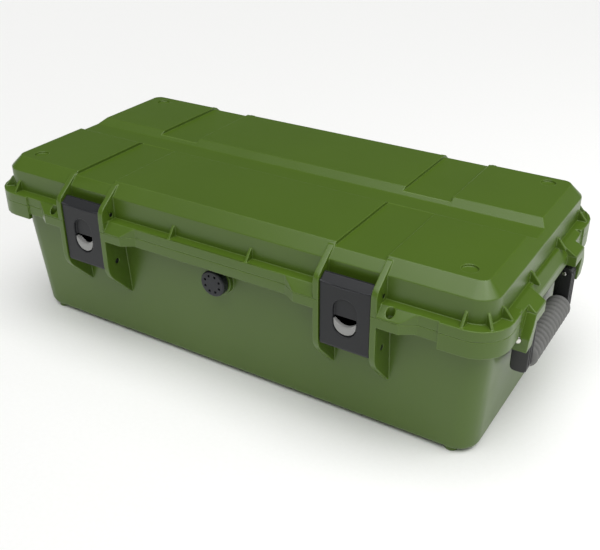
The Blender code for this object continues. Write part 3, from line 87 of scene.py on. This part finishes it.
# %% [markdown]
# ## Colours
# Colours are written as the hex values seen on a screen. Shaders work in linear light, so one
# function turns the first into the second.


# %% One function for colours
def linear(hex_code):
    """Linear RGBA of an sRGB colour such as #4C661A."""
    channels = [int(hex_code[place:place + 2], 16) / 255 for place in (1, 3, 5)]
    return tuple(c / 12.92 if c <= 0.04045 else ((c + 0.055) / 1.055) ** 2.4 for c in channels) + (1.0,)


print("shell green is", [round(c, 3) for c in linear("#4C661A")])


# %% [markdown]
# ## Nodes
# A procedural material is a small network. This function adds one node with its values and the
# links that feed it, so that each material below reads like a list of what it is made of.

# %% One function for nodes
def add_node(tree, kind, values=None, links=None, **settings):
    """A new node; values fill its sockets, links connect them, settings are its own options."""
    node = tree.nodes.new(kind)
    for option, choice in settings.items():
        setattr(node, option, choice)
    for socket, value in (values or {}).items():
        node.inputs[socket].default_value = value
    for socket, source in (links or {}).items():
        tree.links.new(source, node.inputs[socket])
    return node


def empty_material(name):
    """A material with an empty node tree."""
    material = bpy.data.materials.new(name)
    material.use_nodes = True
    material.node_tree.nodes.clear()
    return material


def per_metre(size_mm):
    """Texture scale that repeats a pattern once every size_mm."""
    return 1.0 / (size_mm * MM)


# %% [markdown]
# ## Injection-moulded plastic
# The shells, levers, handle arms and valve are all moulded. Their steel mould is spark-eroded, which
# leaves a fine even grain (about half a millimetre; it is drawn a little coarser so that it shows),
# and the plastic shrinks as it cools, which leaves a very slight waviness over centimetres. The edges
# are painted a shade lighter, a painted highlight for the light that a rounded edge catches. The edge
# mask compares the true normal with a normal rounded over a millimetre: they differ only along edges.


# %% The recipe for moulded plastic
def moulded_plastic(name, body_hex, shade_hex, edge_highlight_hex, roughness, grain_mm, grain_depth_mm, edge_mm=0.9,
                    specular=0.5):
    """Plastic with uneven tint and gloss, a painted highlight along its edges, faint sink waves and a fine
    grain.
    """
    material = empty_material(name)
    tree = material.node_tree
    place = add_node(tree, "ShaderNodeTexCoord").outputs["Object"]
    drift = add_node(tree, "ShaderNodeTexNoise", {"Scale": per_metre(90), "Detail": 2.0}, {"Vector": place})
    tint = add_node(tree, "ShaderNodeMix", {"A": linear(body_hex), "B": linear(shade_hex)},
                    {"Factor": drift.outputs["Fac"]}, data_type="RGBA")
    rounded = add_node(tree, "ShaderNodeBevel", {"Radius": edge_mm * MM}, samples=6)
    flat = add_node(tree, "ShaderNodeNewGeometry")
    agreement = add_node(tree, "ShaderNodeVectorMath", None, None, operation="DOT_PRODUCT")
    tree.links.new(rounded.outputs["Normal"], agreement.inputs[0])
    tree.links.new(flat.outputs["Normal"], agreement.inputs[1])
    # painted highlight: this mask picks out the edges, and the mix below paints them a lighter colour
    edges = add_node(tree, "ShaderNodeMapRange", {"From Min": 0.999, "From Max": 0.90, "To Max": 0.65},
                     {"Value": agreement.outputs["Value"]})
    edge_highlighted = add_node(tree, "ShaderNodeMix", {"B": linear(edge_highlight_hex)},
                    {"Factor": edges.outputs["Result"], "A": tint.outputs["Result"]}, data_type="RGBA")
    sheen_drift = add_node(tree, "ShaderNodeTexNoise", {"Scale": per_metre(35), "Detail": 3.0},
                           {"Vector": place})
    gloss = add_node(tree, "ShaderNodeMapRange", {"To Min": roughness - 0.05, "To Max": roughness + 0.05},
                     {"Value": sheen_drift.outputs["Fac"]})
    grain = add_node(tree, "ShaderNodeTexNoise", {"Scale": per_metre(grain_mm), "Detail": 2.0},
                     {"Vector": place})
    sink = add_node(tree, "ShaderNodeTexNoise", {"Scale": per_metre(25), "Detail": 1.0}, {"Vector": place})
    waves = add_node(tree, "ShaderNodeBump", {"Strength": 0.25, "Distance": 0.15 * MM},
                     {"Height": sink.outputs["Fac"], "Normal": rounded.outputs["Normal"]})
    texture = add_node(tree, "ShaderNodeBump", {"Strength": 1.0, "Distance": grain_depth_mm * MM},
                       {"Height": grain.outputs["Fac"], "Normal": waves.outputs["Normal"]})
    shader = add_node(tree, "ShaderNodeBsdfPrincipled", {"IOR": 1.5, "Specular IOR Level": specular},
                      {"Base Color": edge_highlighted.outputs["Result"], "Roughness": gloss.outputs["Result"],
                       "Normal": texture.outputs["Normal"]})
    add_node(tree, "ShaderNodeOutputMaterial", None, {"Surface": shader.outputs["BSDF"]})
    return material


# %% The moulded finishes
# the third colour of each finish is the painted highlight along its edges
shell_green = moulded_plastic("polypropylene_spark_eroded_green", "#4C661A", "#476018", "#6E8A3C",
                              roughness=0.34, grain_mm=1.1, grain_depth_mm=0.012, edge_mm=1.3)
latch_charcoal = moulded_plastic("glass_filled_nylon_charcoal", "#2A2B2D", "#252628", "#4E4F52",
                                 roughness=0.42, grain_mm=0.9, grain_depth_mm=0.012, specular=0.28)
trigger_grey = moulded_plastic("acetal_light_grey", "#9A9A98", "#8E8E8C", "#C4C4C2",
                               roughness=0.38, grain_mm=1.2, grain_depth_mm=0.012, edge_mm=0.5)
handle_black = moulded_plastic("glass_filled_nylon_black", "#202121", "#1B1C1C", "#4A4B4A",
                               roughness=0.38, grain_mm=0.9, grain_depth_mm=0.010)
valve_grey = moulded_plastic("abs_slate_grey", "#2A2C2F", "#26272B", "#4A4C50",
                             roughness=0.36, grain_mm=0.9, grain_depth_mm=0.008, edge_mm=0.5, specular=0.3)
moulded = (shell_green, latch_charcoal, trigger_grey, handle_black, valve_grey)
print("moulded finishes:", [material.name for material in moulded])


# %% [markdown]
# ## Rubber
# The grip is a soft thermoplastic rubber moulded over the handle's bar; the seal is a foamed rubber
# cord. Rubber is matte because its surface scatters light in many tiny pits, so it gets a high
# roughness, a low specular level and a pitted bump. The grip also picks up a little dust, which
# lightens it unevenly.

# %% The recipe for rubber
def soft_rubber(name, body_hex, dust_hex, pit_mm, pit_depth_mm):
    """Matte rubber with a pitted skin and uneven dust."""
    material = empty_material(name)
    tree = material.node_tree
    place = add_node(tree, "ShaderNodeTexCoord").outputs["Object"]
    cloud = add_node(tree, "ShaderNodeTexNoise", {"Scale": per_metre(14), "Detail": 4.0}, {"Vector": place})
    dust = add_node(tree, "ShaderNodeMix", {"A": linear(body_hex), "B": linear(dust_hex)},
                    {"Factor": cloud.outputs["Fac"]}, data_type="RGBA")
    pits = add_node(tree, "ShaderNodeTexVoronoi", {"Scale": per_metre(pit_mm)}, {"Vector": place})
    skin = add_node(tree, "ShaderNodeBump", {"Strength": 0.7, "Distance": pit_depth_mm * MM},
                    {"Height": pits.outputs["Distance"]})
    shader = add_node(tree, "ShaderNodeBsdfPrincipled",
                      {"Roughness": 0.68, "IOR": 1.5, "Specular IOR Level": 0.35},
                      {"Base Color": dust.outputs["Result"], "Normal": skin.outputs["Normal"]})
    add_node(tree, "ShaderNodeOutputMaterial", None, {"Surface": shader.outputs["BSDF"]})
    return material


# %% The rubber finishes
grip_grey = soft_rubber("thermoplastic_rubber_grey", "#6A6A68", "#787876", pit_mm=1.0, pit_depth_mm=0.03)
seal_black = soft_rubber("foamed_epdm_black", "#1E1E1E", "#2A2A29", pit_mm=0.7, pit_depth_mm=0.06)
print("rubber finishes:", grip_grey.name, seal_black.name)

# %% [markdown]
# ## Drawn steel
# Pins and bars are cut from drawn stainless wire. Drawing leaves very fine lines round and along the
# wire, which a stretched noise gives, and the rubbed heads stay bright. A metal takes its colour from
# its reflection, so the base colour is a pale warm grey and the index of refraction is left alone.
#
# The rods inside the latches are blackened in a hot oxide bath, which keeps them from glinting between
# the fins.

# %% The recipe for steel
def drawn_steel(name, tone_hex, smoothest):
    """Metal with fine drawing lines; smoothest is the lowest roughness between them."""
    material = empty_material(name)
    tree = material.node_tree
    place = add_node(tree, "ShaderNodeTexCoord").outputs["Object"]
    along = add_node(tree, "ShaderNodeMapping", {"Scale": (per_metre(6), per_metre(0.8), per_metre(0.8))},
                     {"Vector": place})
    lines = add_node(tree, "ShaderNodeTexNoise", {"Scale": 1.0, "Detail": 3.0},
                     {"Vector": along.outputs["Vector"]})
    polish = add_node(tree, "ShaderNodeMapRange", {"To Min": smoothest, "To Max": smoothest + 0.14},
                      {"Value": lines.outputs["Fac"]})
    scratch = add_node(tree, "ShaderNodeBump", {"Strength": 0.3, "Distance": 0.01 * MM},
                       {"Height": lines.outputs["Fac"]})
    shader = add_node(tree, "ShaderNodeBsdfPrincipled",
                      {"Base Color": linear(tone_hex), "Metallic": 1.0},
                      {"Roughness": polish.outputs["Result"], "Normal": scratch.outputs["Normal"]})
    add_node(tree, "ShaderNodeOutputMaterial", None, {"Surface": shader.outputs["BSDF"]})
    return material


# %% The steel finishes
steel = drawn_steel("stainless_drawn_polished", "#D5D3CF", 0.16)
black_steel = drawn_steel("carbon_steel_black_oxide", "#3A3B3E", 0.34)
print("metal finishes:", steel.name, black_steel.name)

# %% [markdown]
# ## The valve's membrane
# Behind the valve's ports sits a disc of felted white fluoropolymer that lets air pass and stops
# water. Its fibres are far too fine to see, so they are drawn at a third of a millimetre.

# %% The membrane finish
felt = empty_material("expanded_fluoropolymer_felt")
felt_tree = felt.node_tree
felt_place = add_node(felt_tree, "ShaderNodeTexCoord").outputs["Object"]
fibres = add_node(felt_tree, "ShaderNodeTexNoise", {"Scale": per_metre(0.35), "Detail": 4.0},
                  {"Vector": felt_place})
fibre_tint = add_node(felt_tree, "ShaderNodeMix", {"A": linear("#D9D8D2"), "B": linear("#EFEEE9")},
                      {"Factor": fibres.outputs["Fac"]}, data_type="RGBA")
fibre_bump = add_node(felt_tree, "ShaderNodeBump", {"Strength": 0.6, "Distance": 0.03 * MM},
                      {"Height": fibres.outputs["Fac"]})
felt_shader = add_node(felt_tree, "ShaderNodeBsdfPrincipled", {"Roughness": 0.8, "IOR": 1.35},
                       {"Base Color": fibre_tint.outputs["Result"], "Normal": fibre_bump.outputs["Normal"]})
add_node(felt_tree, "ShaderNodeOutputMaterial", None, {"Surface": felt_shader.outputs["BSDF"]})

finish_of_slot = {
    "shell_plastic": shell_green, "latch_plastic": latch_charcoal, "trigger_plastic": trigger_grey,
    "handle_plastic": handle_black, "valve_plastic": valve_grey, "grip_rubber": grip_grey,
    "seal_rubber": seal_black, "steel": steel, "vent_membrane": felt,
}
print(len(finish_of_slot), "slots have a finish")


# %% [markdown]
# ## From engineering solid to moulded surface
# The frame's meshes are loose triangles with knife-sharp corners. A mould can't make those: every
# edge is rounded so that the plastic flows and the part lets go. Each solid is copied, its triangles
# are joined at their corners, and one bevel rounds all its sharp edges. A bevel is the right tool
# because it keeps the faces where they are and only softens where they meet. Normals weighted by face
# size then keep the flat faces flat in their shading.

# %% Helpers to select and to copy a node
def leave_edit_mode():
    """Object mode with nothing selected."""
    if bpy.context.mode != "OBJECT":
        bpy.ops.object.mode_set(mode="OBJECT")
    bpy.ops.object.select_all(action="DESELECT")


def edit_alone(piece):
    """Edit mode on one object, with nothing selected."""
    leave_edit_mode()
    bpy.context.view_layer.objects.active = piece
    piece.select_set(True)
    bpy.ops.object.mode_set(mode="EDIT")
    bpy.ops.mesh.select_all(action="DESELECT")


def merged_copy(node, name, flat_faces=False):
    """The node's mesh as a new object with its loose triangles joined; flat_faces also joins those
    that lie in one plane."""
    piece = bpy.data.objects.new(name, frame["nodes"][node].data.copy())
    bpy.context.scene.collection.objects.link(piece)
    edit_alone(piece)
    bpy.ops.mesh.select_all(action="SELECT")
    bpy.ops.mesh.remove_doubles(threshold=MERGE_DISTANCE)
    if flat_faces:
        bpy.ops.mesh.dissolve_limited(angle_limit=math.radians(0.5))
    leave_edit_mode()
    return piece


def round_edges(piece, radius_mm, segments=3, sharper_than=20.0, share=None):
    """Bevels every edge sharper than an angle; share(place) gives the part of the radius a point gets."""
    edit_alone(piece)
    bpy.ops.mesh.select_mode(type="EDGE")
    bpy.ops.mesh.edges_select_sharp(sharpness=math.radians(sharper_than))
    mesh = bmesh.from_edit_mesh(piece.data)
    weight = mesh.edges.layers.float.new("bevel_weight_edge")
    for edge in mesh.edges:
        if edge.select:
            edge[weight] = min(share(vert.co) for vert in edge.verts) if share else 1.0
    bmesh.update_edit_mesh(piece.data)
    leave_edit_mode()
    bevel = piece.modifiers.new("moulded_radius", "BEVEL")
    bevel.width = radius_mm * MM
    bevel.segments = segments
    bevel.limit_method = "WEIGHT"
    bevel.use_clamp_overlap = False
    bpy.context.view_layer.objects.active = piece
    bpy.ops.object.modifier_apply(modifier=bevel.name)


def keep_inside(piece, node):
    """Presses any point that a bevel pushed out back onto the node's own box."""
    low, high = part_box(node)
    for vert in piece.data.vertices:
        vert.co = Vector(min(max(c, a), b) for c, a, b in zip(vert.co, low, high))


def dress(piece, node, smooth_angle=40.0, finish=None):
    """Smooth shading, finish, body and slot for a piece that stands for a node."""
    leave_edit_mode()
    bpy.context.view_layer.objects.active = piece
    piece.select_set(True)
    bpy.ops.object.shade_smooth_by_angle(angle=math.radians(smooth_angle))
    weighted = piece.modifiers.new("flat_faces_stay_flat", "WEIGHTED_NORMAL")
    weighted.keep_sharp = True
    bpy.ops.object.modifier_apply(modifier=weighted.name)
    piece.select_set(False)
    piece.data.materials.clear()
    piece.data.materials.append(finish or finish_of_slot[slot_of_node[node]])
    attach(piece, body_of_node[node])
    return piece


# %% [markdown]
# Where the shells meet, the mould halves close flat on each other, so those edges are nearly sharp and
# the joint between lid and base is only a hairline. The mesh gets a small radius everywhere else, and
# the material's rounded normals widen it to what the eye sees as a soft moulded corner.

# %% The two shells
PARTING_HEIGHT = (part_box("base_shell")[1].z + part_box("lid_shell")[0].z) / 2
PARTING_BAND = 0.3 * MM
PARTING_SHARE = 0.2


def shell_share(place):
    """Part of the radius that a point of a shell gets: little where the shells meet."""
    return PARTING_SHARE if abs(place.z - PARTING_HEIGHT) < PARTING_BAND else 1.0


for node, name in (("base_shell", "moulded_base"), ("lid_shell", "moulded_lid")):
    shell = merged_copy(node, name)
    round_edges(shell, radius_mm=0.5, segments=2, share=shell_share)
    keep_inside(shell, node)
    dress(shell, node)
    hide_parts(node)
    print(name, len(shell.data.polygons), "faces")

# %% [markdown]
# ## Small moulded and turned parts
# The handle arms, triggers, valve, nut, seal, pins and bars go the same way, each with the radius that
# suits its size: about a millimetre on a handle arm, a few tenths on a pin's end.

# %% Parts that take the same treatment
small_parts = {
    "handle_frame": ("handle_arms", 0.9), "latch_trigger": ("latch_trigger_moulding", 0.5),
    "hinge_pin": ("hinge_rod", 0.4), "latch_pin": ("lever_rod", 0.4), "catch_bar": ("catch_rod", 0.4),
    "trigger_pin": ("trigger_rod", 0.2), "trigger_spring": ("trigger_coil", 0.0),
}
treatments = [(kind + "_" + side, name + "_" + side, radius)
              for kind, (name, radius) in small_parts.items() for side in ("left", "right")]
treatments += [("handle_pin_" + side + "_" + end, "handle_rivet_" + side + "_" + end, 0.2)
               for side in ("left", "right") for end in ("front", "rear")]
treatments += [("valve_body", "valve_cap", 0.35), ("valve_nut", "valve_lock_nut", 0.4),
               ("valve_membrane", "valve_felt", 0.1), ("valve_o_ring", "valve_ring", 0.5),
               ("lid_gasket", "lid_seal", 0.7)]
for node, name, radius in treatments:
    part = merged_copy(node, name)
    if radius > 0.0:
        round_edges(part, radius)
    keep_inside(part, node)
    hidden_rod = node.startswith(("latch_pin", "catch_bar", "trigger_pin"))
    dress(part, node, finish=black_steel if hidden_rod else None)
    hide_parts(node)
print(len(treatments), "small parts rounded")

# %% [markdown]
# ## Latch levers
# A lever is a shell about fifty millimetres wide with a sloping top and a finger pocket. On the real
# one the edge between slope and face isn't straight: it bows down in the middle, which makes the lever
# look crowned. That one edge is found by its place, divided, and its new points are lowered along a
# parabola before the whole lever is rounded.

# %% Crown and round each lever
CROWN_DROP = 3.0 * MM
CROWN_CUTS = 15
FACE_DEPTH = 0.6 * MM           # points this near the front belong to the lever's face
EDGE_DEPTH = 1.0 * MM           # and its upper edge lies within this depth
EDGE_HEIGHT = 0.8 * MM          # and this height
for side in ("left", "right"):
    node = "latch_lever_" + side
    low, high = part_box(node)
    middle_x = (low.x + high.x) / 2
    half_width = (high.x - low.x) / 2
    lever = merged_copy(node, "lever_moulding_" + side, flat_faces=True)
    edit_alone(lever)
    mesh = bmesh.from_edit_mesh(lever.data)
    face_y = low.y
    top_of_face = max(v.co.z for v in mesh.verts if v.co.y < face_y + FACE_DEPTH)
    for edge in mesh.edges:
        on_edge = all(v.co.z > top_of_face - EDGE_HEIGHT and v.co.y < face_y + EDGE_DEPTH
                      for v in edge.verts)
        edge.select_set(on_edge and edge.calc_length() > half_width)
    bmesh.update_edit_mesh(lever.data)
    bpy.ops.mesh.subdivide(number_cuts=CROWN_CUTS)
    mesh = bmesh.from_edit_mesh(lever.data)
    for vert in mesh.verts:
        across = (vert.co.x - middle_x) / half_width
        if vert.select and abs(across) < 0.999:    # the corners themselves stay
            vert.co.z -= CROWN_DROP * (1.0 - across * across)
    bmesh.update_edit_mesh(lever.data)
    leave_edit_mode()
    round_edges(lever, 0.9)
    keep_inside(lever, node)
    dress(lever, node)
    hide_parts(node)
    print("lever", side, "top of face at", round(top_of_face / MM, 1), "mm")

# %% [markdown]
# ## Ribbed grips
# The grip is a rubber sleeve with ribs all round, so that a wet glove doesn't slip. It is a turned
# shape, so a ring is extruded along the handle's bar and widened or narrowed at each step, several
# steps for each rounded rib, and the two ends are bridged through the bore. The rib spacing follows
# from the sleeve's length and the rib count.

# %% Extrude each grip ring by ring
RIBS = 14
RIB_POINTS = 6
RIB_WIDTH = 0.88                # share of the pitch; the groove has the rest
RIB_FULLNESS = 0.42             # lower is squarer
GROOVE_DEPTH = 2.8 * MM
GRIP_BORE = 7.3 * MM
GRIP_SIDES = 48


def grip_profile(length, outer):
    """(distance along the bar, radius) points of the ribbed sleeve, from one end to the other."""
    pitch = length / RIBS
    points = [(0.0, GRIP_BORE)]
    for rib in range(RIBS):
        for step in range(RIB_POINTS + 1):
            share = step / RIB_POINTS
            bulge = math.sin(math.pi * share) ** RIB_FULLNESS
            along = (rib + (1.0 - RIB_WIDTH) / 2 + RIB_WIDTH * share) * pitch
            points.append((along, outer - GROOVE_DEPTH * (1.0 - bulge)))
    points.append((length, GRIP_BORE))
    return points


for side in ("left", "right"):
    node = "handle_grip_" + side
    low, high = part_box(node)
    axis_x, axis_z = (low.x + high.x) / 2, (low.z + high.z) / 2
    outer = (high.z - low.z) / 2
    bpy.ops.mesh.primitive_circle_add(vertices=GRIP_SIDES, radius=GRIP_BORE,
                                      location=(axis_x, low.y, axis_z), rotation=(math.pi / 2, 0.0, 0.0))
    sleeve = bpy.context.object
    sleeve.name = "ribbed_grip_" + side
    bpy.ops.object.transform_apply(location=True, rotation=True, scale=True)
    edit_alone(sleeve)
    bpy.ops.mesh.select_all(action="SELECT")
    along, radius = 0.0, GRIP_BORE
    for next_along, next_radius in grip_profile(high.y - low.y, outer)[1:]:
        bpy.ops.mesh.extrude_region_move(TRANSFORM_OT_translate={"value": (0.0, next_along - along, 0.0)})
        growth = next_radius / radius
        bpy.ops.transform.resize(value=(growth, 1.0, growth),
                                 center_override=(axis_x, low.y + next_along, axis_z))
        along, radius = next_along, next_radius
    bpy.ops.mesh.select_all(action="DESELECT")
    bpy.ops.mesh.select_mode(type="EDGE")
    bpy.ops.mesh.select_non_manifold()
    bpy.ops.mesh.bridge_edge_loops()
    bpy.ops.mesh.select_all(action="SELECT")
    bpy.ops.mesh.remove_doubles(threshold=MERGE_DISTANCE)
    bpy.ops.mesh.normals_make_consistent(inside=False)
    dress(sleeve, node, smooth_angle=50.0)
    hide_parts(node)
    print("grip", side, RIBS, "ribs,", len(sleeve.data.polygons), "faces")

# %% [markdown]
# ## Floor, light and camera
# The case stands on a roll of white studio paper. Real paper isn't perfectly even, so its white drifts
# very slightly.

# %% Paper for the floor
floor_material = empty_material("studio_paper_white")
floor_tree = floor_material.node_tree
floor_place = add_node(floor_tree, "ShaderNodeTexCoord").outputs["Object"]
paper = add_node(floor_tree, "ShaderNodeTexNoise", {"Scale": per_metre(4), "Detail": 2.0},
                 {"Vector": floor_place})
paper_tint = add_node(floor_tree, "ShaderNodeMix", {"A": linear("#F4F4F2"), "B": linear("#F8F8F7")},
                      {"Factor": paper.outputs["Fac"]}, data_type="RGBA")
floor_shader = add_node(floor_tree, "ShaderNodeBsdfPrincipled", {"Roughness": 0.9},
                        {"Base Color": paper_tint.outputs["Result"]})
add_node(floor_tree, "ShaderNodeOutputMaterial", None, {"Surface": floor_shader.outputs["BSDF"]})

# %% [markdown]
# The floor is a wide disc of paper whose border rises a little, so that no dark edge shows behind the
# case from a low view, yet the lid doesn't mirror it.

# %% The disc of paper
FLOOR_FLAT = 4.0                # metres from the case to where the paper starts to rise
FLOOR_EDGE = 12.0               # and to its border
FLOOR_RISE = 0.9
FLOOR_DROP = -0.2 * MM          # just under the feet
bpy.ops.mesh.primitive_circle_add(vertices=96, radius=FLOOR_FLAT, fill_type="NGON",
                                  location=(0.0, 0.0, FLOOR_DROP))
floor = bpy.context.object
floor.name = "studio_paper"
bpy.ops.object.transform_apply(location=True, rotation=True, scale=True)
edit_alone(floor)
bpy.ops.mesh.select_mode(type="EDGE")
bpy.ops.mesh.select_non_manifold()
bpy.ops.mesh.extrude_edges_move(TRANSFORM_OT_translate={"value": (0.0, 0.0, FLOOR_RISE)})
spread = FLOOR_EDGE / FLOOR_FLAT
bpy.ops.transform.resize(value=(spread, spread, 1.0), center_override=(0.0, 0.0, FLOOR_RISE))
leave_edit_mode()
floor.data.materials.append(floor_material)
print("floor", FLOOR_EDGE, "m to its border")

# %% [markdown]
# One very wide soft light hangs over the case, as where a large cloth is stretched overhead in a
# product studio. The dark room above keeps the top's colour deep, while the walls, which face the
# bright floor, mirror it and look glossier.

# %% Room and overhead light
world = bpy.data.worlds.new("soft_studio")
world.use_nodes = True
world.node_tree.nodes.clear()
sky = add_node(world.node_tree, "ShaderNodeBackground", {"Color": linear("#F2F4F6"), "Strength": 0.10})
add_node(world.node_tree, "ShaderNodeOutputWorld", None, {"Surface": sky.outputs["Background"]})
bpy.context.scene.world = world


def soft_sun(name, turn_deg, rise_deg, spread_deg, strength):
    """A sun seen from the case at a turn (0 is the front, right is positive) and a rise."""
    lamp = bpy.data.lights.new(name, "SUN")
    lamp.angle = math.radians(spread_deg)
    lamp.energy = strength
    holder = bpy.data.objects.new(name, lamp)
    turn, rise = math.radians(turn_deg), math.radians(rise_deg)
    towards = Vector((math.sin(turn) * math.cos(rise), -math.cos(turn) * math.cos(rise), math.sin(rise)))
    holder.rotation_euler = (-towards).to_track_quat("-Z", "Y").to_euler()
    bpy.context.scene.collection.objects.link(holder)
    return holder


cloth = soft_sun("overhead_cloth", turn_deg=25.0, rise_deg=74.0, spread_deg=70.0, strength=2.95)
print("room:", world.name, "with", cloth.name)

# %% [markdown]
# The floor beyond the right end gets a light of its own. The end wall is seen at a grazing angle, so it
# mirrors that bright patch and looks the glossiest of all.

# %% Floor light at the right
patch = bpy.data.lights.new("floor_patch_softbox", "AREA")
patch.size = 0.7
patch.energy = 4.0
patch_holder = bpy.data.objects.new("floor_patch_softbox", patch)
patch_holder.location = (0.95, 0.05, 0.9)
bpy.context.scene.collection.objects.link(patch_holder)
print("floor light", patch.size, "m wide")

# %% [markdown]
# The camera stands to the right of the latches and looks down by about thirty degrees, with a lens a
# little longer than the eye's own view, so that the long case stays calm and nearly parallel.

# %% Camera
CAMERA_TURN = math.radians(31.807)
CAMERA_RISE = math.radians(29.508)
CAMERA_ROLL = math.radians(-0.286)
camera_data = bpy.data.cameras.new("camera")
camera_data.sensor_width = 36.0
camera_data.lens = 51.98
camera = bpy.data.objects.new("camera", camera_data)
bpy.context.scene.collection.objects.link(camera)
camera.location = Vector((443.7, -687.3, 522.2)) * MM
look_back = Vector((math.sin(CAMERA_TURN) * math.cos(CAMERA_RISE),
                    -math.cos(CAMERA_TURN) * math.cos(CAMERA_RISE), math.sin(CAMERA_RISE)))
camera.rotation_euler = (-look_back).to_track_quat("-Z", "Y").to_euler()
camera.rotation_euler.rotate_axis("Z", CAMERA_ROLL)
bpy.context.scene.camera = camera
bpy.context.scene.view_settings.view_transform = "Standard"
print("camera", [round(c / MM) for c in camera.location], "mm")
